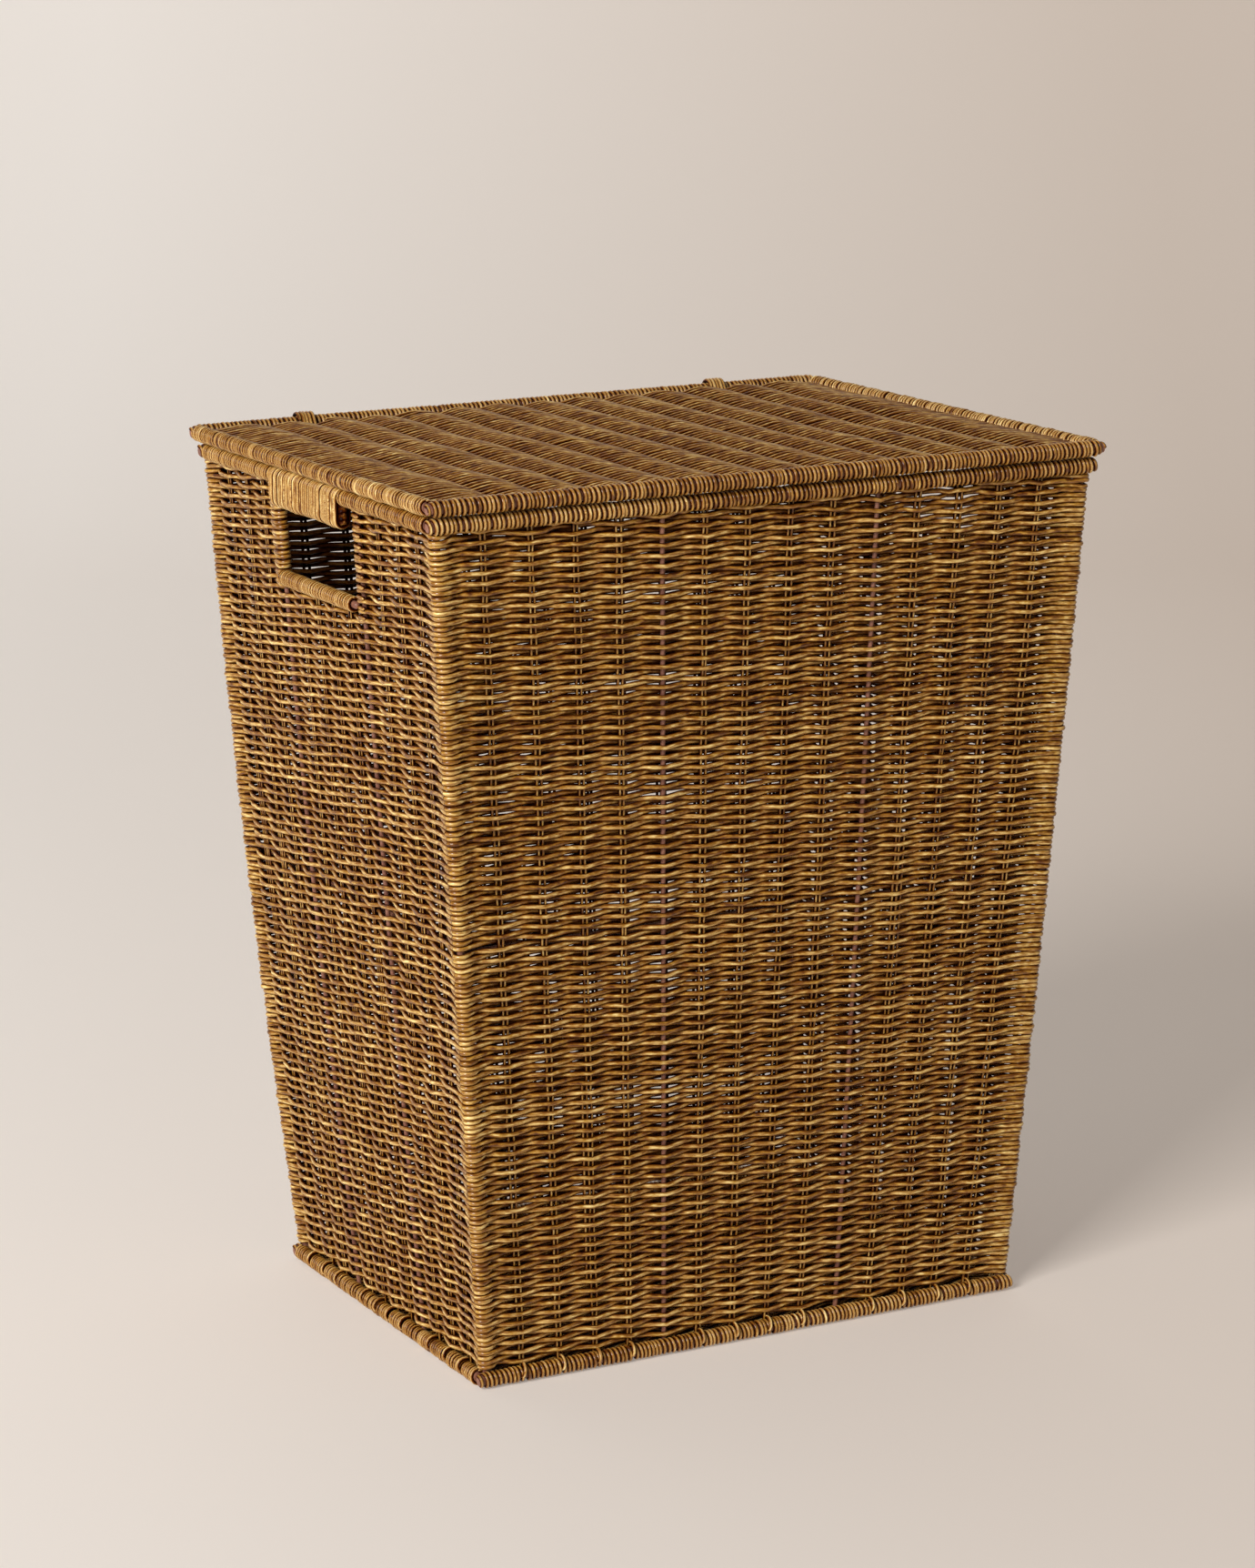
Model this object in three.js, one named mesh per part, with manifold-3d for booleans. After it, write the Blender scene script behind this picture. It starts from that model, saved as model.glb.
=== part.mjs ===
// Lidded laundry hamper: a tapered basket of plain-woven rattan on a bent-rod frame, with a handle opening
// in each short side and a flat woven lid that turns on two rattan loops at the back.
// Millimetres, +Z up. The origin is on the floor, under the middle of the whole with its hinge loops; the
// wide front wall faces -Y.
import * as THREE from "three";
import Module from "manifold-3d";

// ---- Driving dimensions --------------------------------------------------------------------------------

const GAP = 0.3; // left between pieces that touch in the real hamper

// Rectangular frames, measured on the centre lines of their wrapped poles.
const BASE = { width: 404, depth: 304, z: 6 };
const RIM = { width: 484, depth: 371, z: 582 };
const LID = { width: 489, depth: 384, y: 1.5, z: 594 };

// Round stock.
const POLE_R = 6; // a wrapped pole
const CORE_R = 3.5; // the rod inside it
const POST_R = 2.25; // corner posts
const ROD_R = 2; // uprights, hoop and brace

// Woven walls.
const WEAVE_T = 7.4; // a stake with a strand in front of it and one behind
const WEAVE_INSET = 4; // from the poles' centre lines in to the middle of the weave
const HOOP_Z = 300;
const FRONT_UPRIGHT_AT = 1 / 3; // of the half width, from the middle
const SIDE_UPRIGHT_AT = 0.357; // of the half depth, from the middle

// Handle openings in the short sides. Along Y, minus is towards the front.
const OPENING_HALF = 60;
const GRIP = { from: -50, to: 59, z: 567 };
const SILL = { r: 5.5, core: 2.5, z: 512, proud: 4 };

// Hinge loops around the back poles of lid and rim, and how far in the lid's panel stays clear of them.
const LOOP = { x: 163, width: 12, inner: 6.3, outer: 8.5, clear: 13.5 };

// The loops reach further back than the lid does in front, so the frames' centre is this far off.
const MIDDLE_Y = 2.9;

// ---- Materials -----------------------------------------------------------------------------------------

const weaveMaterial = new THREE.MeshStandardMaterial({ color: 0x9a6a2e, roughness: 0.5, metalness: 0 });
const wrapMaterial = new THREE.MeshStandardMaterial({ color: 0xb07c38, roughness: 0.45, metalness: 0 });
const rodMaterial = new THREE.MeshStandardMaterial({ color: 0x7d4a35, roughness: 0.5, metalness: 0.2 });

// ---- Helpers -------------------------------------------------------------------------------------------

const wasm = await Module();
wasm.setup();

const hamper = new THREE.Group();
hamper.name = "laundry_hamper";
hamper.position.y = -MIDDLE_Y;

function add(name, geometry, material) {
  const mesh = new THREE.Mesh(geometry, material);
  mesh.name = name;
  hamper.add(mesh);
}

// A value that runs in a straight line from the base frame's height to the rim's.
function along(atBase, atRim, z) {
  return atBase + ((atRim - atBase) * (z - BASE.z)) / (RIM.z - BASE.z);
}

// Half width and half depth of the weave's middle surface at a height.
const halfWidth = (z) => along(BASE.width, RIM.width, z) / 2 - WEAVE_INSET;
const halfDepth = (z) => along(BASE.depth, RIM.depth, z) / 2 - WEAVE_INSET;

// A solid cylinder between two points.
function rod(from, to, radius, segments = 12) {
  const a = new THREE.Vector3(...from);
  const b = new THREE.Vector3(...to);
  const geometry = new THREE.CylinderGeometry(radius, radius, a.distanceTo(b), segments);
  const turn = new THREE.Quaternion().setFromUnitVectors(
    new THREE.Vector3(0, 1, 0),
    b.clone().sub(a).normalize(),
  );
  geometry.applyQuaternion(turn);
  const middle = a.add(b).multiplyScalar(0.5);
  return geometry.translate(middle.x, middle.y, middle.z);
}

// Points of an arc, with both ends.
function arc(cx, cy, radius, fromAngle, toAngle, steps) {
  const points = [];
  for (let i = 0; i <= steps; i++) {
    const angle = fromAngle + ((toAngle - fromAngle) * i) / steps;
    points.push(new THREE.Vector2(cx + radius * Math.cos(angle), cy + radius * Math.sin(angle)));
  }
  return points;
}

// A band round one or two parallel poles, seen along the poles. Its facets lie on the outer radius, so
// that it has a flat one underneath.
function bandOutline(low, high, radius, steps = 8) {
  const reach = radius / Math.cos(Math.PI / (2 * steps));
  const lean = Math.atan2(high[0] - low[0], high[1] - low[1]);
  const half = Math.PI / (2 * steps);
  const under = arc(low[0], low[1], reach, Math.PI + half - lean, 2 * Math.PI - half - lean, steps - 1);
  const over = arc(high[0], high[1], reach, half - lean, Math.PI - half - lean, steps - 1);
  return [...under, ...over];
}

function band(low, high, inner, outer, length, steps) {
  const shape = new THREE.Shape(bandOutline(low, high, outer, steps));
  shape.holes.push(new THREE.Path(bandOutline(low, high, inner, steps)));
  return new THREE.ExtrudeGeometry(shape, { depth: length, bevelEnabled: false });
}

// Turns of the extruded profile (drawn in x and y, pushed along z) onto the world's axes.
const ALONG_X = new THREE.Matrix4().makeBasis(
  new THREE.Vector3(0, 1, 0),
  new THREE.Vector3(0, 0, 1),
  new THREE.Vector3(1, 0, 0),
);
const ALONG_Y = new THREE.Matrix4().makeBasis(
  new THREE.Vector3(-1, 0, 0),
  new THREE.Vector3(0, 0, 1),
  new THREE.Vector3(0, 1, 0),
);

// A wrapping round a pole that runs along X, given the pole's y and z.
function wrapAlongX(fromX, toX, y, z, radius = POLE_R, core = CORE_R) {
  const geometry = band([y, z], [y, z], core + GAP, radius, toX - fromX);
  return geometry.applyMatrix4(ALONG_X).translate(fromX, 0, 0);
}

// The same along Y, given the pole's x and z.
function wrapAlongY(fromY, toY, x, z, radius = POLE_R, core = CORE_R) {
  const geometry = band([-x, z], [-x, z], core + GAP, radius, toY - fromY);
  return geometry.applyMatrix4(ALONG_Y).translate(0, fromY, 0);
}

// A solid between two level outlines with the same number of points.
function loft(outlineLow, zLow, outlineHigh, zHigh) {
  const count = outlineLow.length;
  const positions = [];
  outlineLow.forEach((p) => positions.push(p.x, p.y, zLow));
  outlineHigh.forEach((p) => positions.push(p.x, p.y, zHigh));
  const faces = THREE.ShapeUtils.triangulateShape(outlineLow, []);
  const index = [];
  faces.forEach(([a, b, c]) => {
    index.push(c, b, a);
    index.push(a + count, b + count, c + count);
  });
  for (let i = 0; i < count; i++) {
    const next = (i + 1) % count;
    index.push(i, next, next + count);
    index.push(i, next + count, i + count);
  }
  const geometry = new THREE.BufferGeometry();
  geometry.setAttribute("position", new THREE.Float32BufferAttribute(positions, 3));
  geometry.setIndex(index);
  return geometry;
}

function box(x0, x1, y0, y1, z0, z1) {
  const geometry = new THREE.BoxGeometry(x1 - x0, y1 - y0, z1 - z0);
  return geometry.translate((x0 + x1) / 2, (y0 + y1) / 2, (z0 + z1) / 2);
}

function toManifold(geometry) {
  const merged = new wasm.Mesh({
    numProp: 3,
    vertProperties: new Float32Array(geometry.getAttribute("position").array),
    triVerts: new Uint32Array(geometry.index.array),
  });
  merged.merge();
  return new wasm.Manifold(merged);
}

function cut(geometry, tools) {
  let solid = toManifold(geometry);
  tools.forEach((tool) => {
    solid = solid.subtract(toManifold(tool));
  });
  const mesh = solid.getMesh();
  const result = new THREE.BufferGeometry();
  result.setAttribute("position", new THREE.BufferAttribute(new Float32Array(mesh.vertProperties), 3));
  result.setIndex(new THREE.BufferAttribute(new Uint32Array(mesh.triVerts), 1));
  return result;
}

// ---- Rod frames and their wrappings --------------------------------------------------------------------

// A rectangle of rods: the long ones run past the corners, the short ones butt against their wrappings.
function addRodFrame(prefix, width, depth, yMiddle, z) {
  const endX = width / 2 + CORE_R;
  const endY = depth / 2 - POLE_R - GAP;
  [["front", -1], ["back", 1]].forEach(([side, sign]) => {
    const y = yMiddle + (sign * depth) / 2;
    add(`${prefix}_rod_${side}`, rod([-endX, y, z], [endX, y, z], CORE_R), rodMaterial);
  });
  [["left", -1], ["right", 1]].forEach(([side, sign]) => {
    const x = (sign * width) / 2;
    add(
      `${prefix}_rod_${side}`,
      rod([x, yMiddle - endY, z], [x, yMiddle + endY, z], CORE_R),
      rodMaterial,
    );
  });
}

// Wrappings of the long rods of a frame.
function addLongWraps(prefix, width, depth, yMiddle, z, radius) {
  [["front", -1], ["back", 1]].forEach(([side, sign]) => {
    const y = yMiddle + (sign * depth) / 2;
    const end = width / 2 + CORE_R - 0.5;
    add(`${prefix}_wrap_${side}`, wrapAlongX(-end, end, y, z, radius), wrapMaterial);
  });
}

const restingR = POLE_R - GAP / 2; // rim and lid poles touch when the lid is shut

addRodFrame("base", BASE.width, BASE.depth, 0, BASE.z);
addRodFrame("rim", RIM.width, RIM.depth, 0, RIM.z);
addRodFrame("lid", LID.width, LID.depth, LID.y, LID.z);

addLongWraps("base", BASE.width, BASE.depth, 0, BASE.z, POLE_R);
addLongWraps("rim", RIM.width, RIM.depth, 0, RIM.z, restingR);
addLongWraps("lid", LID.width, LID.depth, LID.y, LID.z, restingR);

[["left", -1], ["right", 1]].forEach(([side, sign]) => {
  const baseEnd = BASE.depth / 2 - POLE_R - GAP;
  add(`base_wrap_${side}`, wrapAlongY(-baseEnd, baseEnd, (sign * BASE.width) / 2, BASE.z), wrapMaterial);

  const lidEnd = LID.depth / 2 - POLE_R - GAP;
  const lidX = (sign * LID.width) / 2;
  add(
    `lid_wrap_${side}`,
    wrapAlongY(LID.y - lidEnd, LID.y + lidEnd, lidX, LID.z, restingR),
    wrapMaterial,
  );

  // The rim's side wrapping stops at the grip, which has one of its own.
  const rimEnd = RIM.depth / 2 - POLE_R - GAP;
  const rimX = (sign * RIM.width) / 2;
  add(`rim_wrap_${side}_front`, wrapAlongY(-rimEnd, GRIP.from - GAP, rimX, RIM.z, restingR), wrapMaterial);
  add(`rim_wrap_${side}_back`, wrapAlongY(GRIP.to + GAP, rimEnd, rimX, RIM.z, restingR), wrapMaterial);
});

// ---- Woven walls, corner posts and uprights ------------------------------------------------------------

const WALL_LOW = BASE.z + POLE_R + GAP;
const WALL_HIGH = RIM.z - POLE_R - GAP;
const POST_CLEAR = POST_R + GAP;
const ROD_CLEAR = ROD_R + GAP;

// Level outline of one wall, drawn along x with its outer face towards -y: rounded round the corner
// posts, mitred at 45 degrees with a hollow for each post, and grooved inside for the uprights.
function wallOutline(halfLength, uprights) {
  const t = WEAVE_T / 2;
  const diagonal = Math.PI / 4;
  const mitreGap = GAP * Math.SQRT1_2;
  const points = [];
  // Outer face, then round the right-hand post to the mitre.
  points.push(...arc(halfLength, 0, t, -Math.PI / 2, -diagonal, 2).map((p) => shift(p, -mitreGap, 0)));
  points.push(...arc(halfLength - mitreGap, 0, POST_CLEAR, -diagonal, -5 * diagonal, 6));
  points.push(new THREE.Vector2(halfLength - t - mitreGap, t));
  // Inner face, with a groove at each upright, from right to left.
  [...uprights].sort((a, b) => b - a).forEach((at) => {
    points.push(new THREE.Vector2(at + ROD_CLEAR, t));
    points.push(...arc(at, 0, ROD_CLEAR, 0, -Math.PI, 6));
    points.push(new THREE.Vector2(at - ROD_CLEAR, t));
  });
  // The left-hand end mirrors the right-hand one.
  points.push(new THREE.Vector2(-(halfLength - t - mitreGap), t));
  points.push(...arc(-(halfLength - mitreGap), 0, POST_CLEAR, diagonal, -3 * diagonal, 6));
  points.push(
    ...arc(-halfLength, 0, t, -3 * diagonal, -2 * diagonal, 2).map((p) => shift(p, mitreGap, 0)),
  );
  return points;
}

function shift(point, dx, dy) {
  return new THREE.Vector2(point.x + dx, point.y + dy);
}

// Places an outline drawn for the front wall on one of the four sides.
function placeOutline(points, side, z) {
  const spin = { front: 0, right: Math.PI / 2, back: Math.PI, left: -Math.PI / 2 }[side];
  const out = side === "front" || side === "back" ? halfDepth(z) : halfWidth(z);
  return points.map((p) => shift(p, 0, -out).rotateAround(new THREE.Vector2(0, 0), spin));
}

function wall(side) {
  const wide = side === "front" || side === "back";
  const level = (z) => {
    const half = wide ? halfWidth(z) : halfDepth(z);
    const at = half * (wide ? FRONT_UPRIGHT_AT : SIDE_UPRIGHT_AT);
    return placeOutline(wallOutline(half, [-at, at]), side, z);
  };
  return loft(level(WALL_LOW), WALL_LOW, level(WALL_HIGH), WALL_HIGH);
}

add("wall_front", wall("front"), weaveMaterial);

// The back wall makes room for the hinge loops under the rim.
const loopHalf = LOOP.width / 2 + GAP;
const loopFoot = RIM.z - LOOP.outer - GAP;
const loopRooms = [-LOOP.x, LOOP.x].map((x) =>
  box(x - loopHalf, x + loopHalf, 150, RIM.depth / 2 + 20, loopFoot, RIM.z),
);
add("wall_back", cut(wall("back"), loopRooms), weaveMaterial);

// Each side wall is open from the sill up to the rim, between its two uprights.
const openingLow = SILL.z - SILL.r - GAP;
[["left", -1], ["right", 1]].forEach(([side, sign]) => {
  const outX = sign * (RIM.width / 2 + 20);
  const inX = sign * (RIM.width / 2 - 40);
  const opening = box(
    Math.min(outX, inX),
    Math.max(outX, inX),
    -OPENING_HALF,
    OPENING_HALF,
    openingLow,
    RIM.z,
  );
  add(`wall_${side}`, cut(wall(side), [opening]), weaveMaterial);
});

[["front", -1], ["back", 1]].forEach(([endName, ySign]) => {
  [["left", -1], ["right", 1]].forEach(([sideName, xSign]) => {
    const at = (z) => [xSign * halfWidth(z), ySign * halfDepth(z), z];
    add(`corner_post_${endName}_${sideName}`, rod(at(WALL_LOW), at(WALL_HIGH), POST_R), rodMaterial);
  });
});

[["front", -1], ["back", 1]].forEach(([side, sign]) => {
  [-1, 1].forEach((half, i) => {
    const at = (z) => [half * FRONT_UPRIGHT_AT * halfWidth(z), sign * halfDepth(z), z];
    add(`upright_${side}_${i + 1}`, rod(at(WALL_LOW), at(WALL_HIGH), ROD_R), rodMaterial);
  });
});
[["left", -1], ["right", 1]].forEach(([side, sign]) => {
  [-1, 1].forEach((half, i) => {
    const at = (z) => [sign * halfWidth(z), half * SIDE_UPRIGHT_AT * halfDepth(z), z];
    add(`upright_${side}_${i + 1}`, rod(at(WALL_LOW), at(WALL_HIGH), ROD_R), rodMaterial);
  });
});

// ---- Hoop half way up, inside the walls ----------------------------------------------------------------

const hoopIn = WEAVE_T / 2 + ROD_R + 1.5 * GAP;
const hoopX = halfWidth(HOOP_Z) - hoopIn;
const hoopY = halfDepth(HOOP_Z) - hoopIn;
const hoopEndX = hoopX - ROD_R - GAP;
const hoopEndY = hoopY + ROD_R - GAP;
[["front", -1], ["back", 1]].forEach(([side, sign]) => {
  const y = sign * hoopY;
  add(`hoop_rod_${side}`, rod([-hoopEndX, y, HOOP_Z], [hoopEndX, y, HOOP_Z], ROD_R), rodMaterial);
});
[["left", -1], ["right", 1]].forEach(([side, sign]) => {
  const x = sign * hoopX;
  add(`hoop_rod_${side}`, rod([x, -hoopEndY, HOOP_Z], [x, hoopEndY, HOOP_Z], ROD_R), rodMaterial);
});

// ---- Handles -------------------------------------------------------------------------------------------

[["left", -1], ["right", 1]].forEach(([side, sign]) => {
  // The grip is a second rod under the rim's, bound to it with one wrapping.
  const gripX = (sign * RIM.width) / 2;
  const gripEnd = OPENING_HALF - 0.5;
  add(
    `grip_rod_${side}`,
    rod([gripX, GRIP.from - 8, GRIP.z], [gripX, gripEnd, GRIP.z], CORE_R),
    rodMaterial,
  );
  const binding = band([-gripX, GRIP.z], [-gripX, RIM.z], CORE_R + GAP, restingR, GRIP.to - GRIP.from);
  add(
    `grip_wrap_${side}`,
    binding.applyMatrix4(ALONG_Y).translate(0, GRIP.from, 0),
    wrapMaterial,
  );

  // The sill is a wrapped bar along the opening's lower edge.
  const sillX = sign * (halfWidth(SILL.z) + SILL.proud);
  const sillEnd = OPENING_HALF - GAP;
  add(`sill_rod_${side}`, rod([sillX, -sillEnd, SILL.z], [sillX, sillEnd, SILL.z], SILL.core), rodMaterial);
  add(
    `sill_wrap_${side}`,
    wrapAlongY(1 - sillEnd, sillEnd - 1, sillX, SILL.z, SILL.r, SILL.core),
    wrapMaterial,
  );
});

// ---- Floor ---------------------------------------------------------------------------------------------

const floorX = BASE.width / 2 - POLE_R - GAP;
const floorY = BASE.depth / 2 - POLE_R - GAP;
add(
  "floor_panel",
  box(-floorX, floorX, -floorY, floorY, BASE.z - WEAVE_T / 2, BASE.z + WEAVE_T / 2),
  weaveMaterial,
);

// ---- Lid panel, brace and hinge loops ------------------------------------------------------------------

const lidBackY = LID.y + LID.depth / 2;
const lidFrontY = LID.y - LID.depth / 2;
const panelX = LID.width / 2 - POLE_R - GAP;
const panelClear = POLE_R + GAP;
const lidPanel = box(
  -panelX,
  panelX,
  lidFrontY + panelClear,
  lidBackY - panelClear,
  LID.z - WEAVE_T / 2,
  LID.z + WEAVE_T / 2,
);
const hingeNotches = [-LOOP.x, LOOP.x].map((x) =>
  box(x - loopHalf, x + loopHalf, lidBackY - LOOP.clear, lidBackY, LID.z - 20, LID.z + 20),
);
add("lid_panel", cut(lidPanel, hingeNotches), weaveMaterial);

const braceZ = LID.z - WEAVE_T / 2 - GAP - ROD_R;
const braceX = panelX - 3;
add("lid_brace", rod([-braceX, LID.y, braceZ], [braceX, LID.y, braceZ], ROD_R), rodMaterial);

[["left", -1], ["right", 1]].forEach(([side, sign]) => {
  const loop = band([RIM.depth / 2, RIM.z], [lidBackY, LID.z], LOOP.inner, LOOP.outer, LOOP.width);
  const fromX = sign * LOOP.x - LOOP.width / 2;
  add(`hinge_loop_${side}`, loop.applyMatrix4(ALONG_X).translate(fromX, 0, 0), wrapMaterial);
});

export default hamper;
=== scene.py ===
"""Looks of a lidded laundry hamper woven from rattan, built around its CAD frame.

Every strand is real geometry: a tube swept along a path that goes over and under the stakes, round the
corner posts and round the wrapped poles. Lengths are in millimetres until a mesh is made, and then in
metres, in the CAD part's frame: +Z up, the wide front wall facing -Y.
"""

import math

import bpy
import numpy as np
from mathutils import Matrix, Vector


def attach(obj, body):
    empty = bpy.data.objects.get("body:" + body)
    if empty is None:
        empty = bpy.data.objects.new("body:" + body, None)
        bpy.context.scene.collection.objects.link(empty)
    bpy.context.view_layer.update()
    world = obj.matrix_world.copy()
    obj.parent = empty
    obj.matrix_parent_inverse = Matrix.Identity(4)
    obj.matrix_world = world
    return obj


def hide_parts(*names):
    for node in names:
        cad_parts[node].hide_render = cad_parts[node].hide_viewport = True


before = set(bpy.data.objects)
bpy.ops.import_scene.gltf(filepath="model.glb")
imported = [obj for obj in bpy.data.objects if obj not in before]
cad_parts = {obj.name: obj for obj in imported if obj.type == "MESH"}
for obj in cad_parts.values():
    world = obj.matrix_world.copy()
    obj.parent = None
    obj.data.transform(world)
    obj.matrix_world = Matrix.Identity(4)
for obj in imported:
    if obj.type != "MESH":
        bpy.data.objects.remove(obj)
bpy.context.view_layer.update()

# ---- Dimensions ----------------------------------------------------------------------------------------

MM = 0.001
MIDDLE_Y = 2.9  # the base's and the rim's centre ends up this far in front of the origin, as in the CAD part
SIDES = ("front", "back", "left", "right")
UP = (0, 0, 1)

# The rectangular frames, measured between the centre lines of their wrapped poles.
BASE = {"width": 404.0, "depth": 304.0, "z": 6.0}
RIM = {"width": 484.0, "depth": 371.0, "z": 582.0}
LID = {"width": 489.0, "depth": 384.0, "y": 1.5, "z": 594.0}
POLE_R = 6.0
CORE_R = 3.5  # the rod in a pole
WRAP_R = 1.3  # the strand a pole is wrapped with
WRAP_PITCH = 3.32
SIDE_WRAP_PITCH = WRAP_PITCH * 0.97

# The woven walls.
WEAVE_INSET = 4.0  # from the poles' centre lines in to the middle of the weave
WEAVER_R = 1.58
STAKE_R = 1.1
WEAVE_HALF = STAKE_R + 2 * WEAVER_R  # half of the weave's thickness
POST_R = 2.25
UPRIGHT_R = 1.65
ROW_PITCH = 3.33
FIRST_ROW_Z = 14.5
LAST_ROW_Z = 576.5
HOOP_Z = 300.0
HOOP_ROOM = 1.5  # the rows are this much further apart at the hoop
WEAVE_BANDS = 7  # the walls' weavers are shared out over this many pieces

FRONT_STAKES = 14
SIDE_OUTER_STAKES = 3  # between a corner post and an upright of a short wall
SIDE_INNER_STAKES = 4  # between its two uprights
SIDE_UPRIGHT_AT = 0.357  # of the half depth, from the middle
PAIR_HALF_GAP = 1.6

# The flat panels of the lid and the floor.
PANEL_WEAVER_R = 1.4
BRACE_Y = 3.0  # from the lid's middle back to where its rows part over its brace
BRACE_ROOM = 2.2  # the rows are this much further apart there

# Handles, along Y from the front to the back, and the hinge loops, by their distance from the middle.
OPENING_LOW = 504.5  # the weavers above here turn back at the handle openings
GRIP = {"from": -50.0, "to": 59.0, "z": 567.0, "coil_r": 4.9, "strand_r": 1.02, "pitch": 2.2, "plug_r": 3.8}
SILL = {"from": -54.0, "to": 63.0, "z": 512.0, "r": 5.5, "core": 2.5, "proud": 4.0, "pitch": 3.15}
LOOP = {"x": 163.0, "width": 12.0, "coil_r": 7.3, "strand_r": 1.35, "pitch": 2.6}

# A tie's way over a base pole: the angle up from straight out, and how far it is from the pole's middle.
TIE_ANGLES = np.radians([112, 92, 72, 52, 34, 18, 2, -14])
TIE_REACH = POLE_R + np.array([0.5, 0.6, 0.75, 0.8, 0.6, 0.2, -0.7, -2.2])
TIE_ROOM = 0.75  # how far a tie parts the turns on each side of it
TIE_LEAN = 1.3  # how far along the pole a tie's end lies

# How uneven the work is.
HUMP = 1.0  # a weaver rests on the one below between the stakes, and is beaten down over them
SWELL = 0.11  # and it is that much fuller there, where nothing presses it against a stake
CORNER_FULLNESS = 0.7  # the same round the corner posts, as a part of it
CORNER_SLACK = 0.35  # how unevenly the weavers are drawn round the corner posts
ROW_SLACK = 0.16  # how far a row strays up and down
TOP_ROWS_Z = 558.0  # above here the rows stray the more, by up to TOP_SLACK
TOP_SLACK = 0.8
STAKE_WANDER = 0.45
SPLICED_STAKES = 0.3  # the part of the stake pairs that have a third stake laid in for a while

# How bright the painted light leaves the inner face of the weave, 1 being like the outer one: below 1 the
# inside is painted darker, as shade.
WALL_INSIDE_PAINTED_LIGHT = 0.4
LID_INSIDE_PAINTED_LIGHT = 0.85

rng = np.random.default_rng(20)


# ---- Smooth irregularity -------------------------------------------------------------------------------


class Drift:
    """Smooth random variation over a plane, about -1 to 1, from a few sine waves."""

    def __init__(self, length_x, length_y, waves=10):
        self.kx = rng.normal(0, 2 * math.pi / length_x, waves)
        self.ky = rng.normal(0, 2 * math.pi / length_y, waves)
        self.phase = rng.uniform(0, 2 * math.pi, waves)

    def __call__(self, x, y):
        x, y = np.broadcast_arrays(np.asarray(x, float), np.asarray(y, float))
        total = np.zeros(x.shape)
        for kx, ky, phase in zip(self.kx, self.ky, self.phase):
            total += np.sin(kx * x + ky * y + phase)
        return total / math.sqrt(len(self.kx) / 2) * 0.7


# ---- Strands -------------------------------------------------------------------------------------------


# A strand's rounded end: how far its last rings reach and how thick they are, as parts of the radius.
CAP_REACH = np.array([0.9, 0.75, 0.4])
CAP_GIRTH = np.array([0.02, 0.55, 0.9])

TAPE_MARGIN = 0.004  # left free at both ends of each row of the UV layout
TAPE_FILL = 0.8  # how much of a row's height the tape takes


def unit(v):
    """Vectors of length 1 in the directions of v."""
    return v / np.maximum(np.linalg.norm(v, axis=-1, keepdims=True), 1e-9)


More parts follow.
